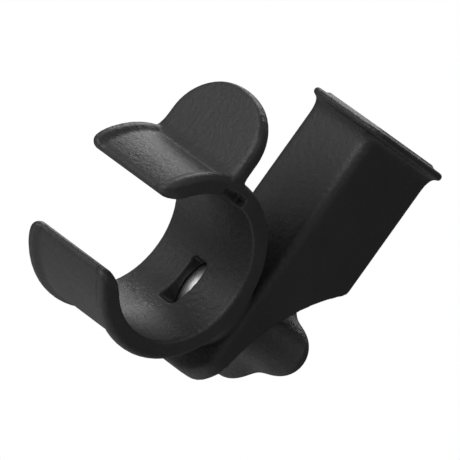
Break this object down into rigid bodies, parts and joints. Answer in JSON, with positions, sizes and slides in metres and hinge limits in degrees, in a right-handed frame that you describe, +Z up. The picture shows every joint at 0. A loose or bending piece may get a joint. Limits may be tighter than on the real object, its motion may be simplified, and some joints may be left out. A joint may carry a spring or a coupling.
{
  "type": "clip-on tube holder with bar socket",
  "caption": "Black moulded clip that grips a 50 mm tube, carrying a swivelling flanged socket clamped by a lobed knob.",
  "frame": {"origin": "centre of the clipped tube at the clip's mid width", "axes": "+X from the clip along the pivot to the knob, +Y along the tube, +Z up the socket"},
  "size_m": [0.1023, 0.042, 0.1015],
  "materials": {
    "clip_plastic": "fine spark-eroded black, smoother inside the bore",
    "bolt_steel": "polished stainless",
    "disc_rubber": "plain",
    "socket_plastic": "fine satin black",
    "bush_nylon": "natural nylon",
    "washer_steel": "rolled stainless",
    "knob_plastic": "coarser spark-eroded black",
    "insert_brass": "turned"
  },
  "bodies": {
    "clip": {"clip_body": "clip_plastic", "clamp_bolt": "bolt_steel", "friction_disc": "disc_rubber"},
    "socket": {"socket_body": "socket_plastic", "pivot_bush": "bush_nylon"},
    "washer": {"clamp_washer": "washer_steel"},
    "knob": {"knob_body": "knob_plastic", "knob_insert": "insert_brass"}
  },
  "joints": [
    {"name": "socket_swivel", "type": "hinge", "parent": "clip", "child": "socket", "pos_m": [0.0385, 0, -0.004], "axis": [1, 0, 0], "continuous": true},
    {"name": "clamp_travel", "type": "slide", "parent": "clip", "child": "washer", "axis": [1, 0, 0], "range_m": [0, 0.0025]},
    {"name": "knob_turn", "type": "hinge", "parent": "washer", "child": "knob", "pos_m": [0.0512, 0, -0.004], "axis": [1, 0, 0], "range_deg": [0, 720]}
  ],
  "couplings": [
    {"joint": "knob_turn", "follows": "clamp_travel", "rad_per_m": 5026.5}
  ]
}
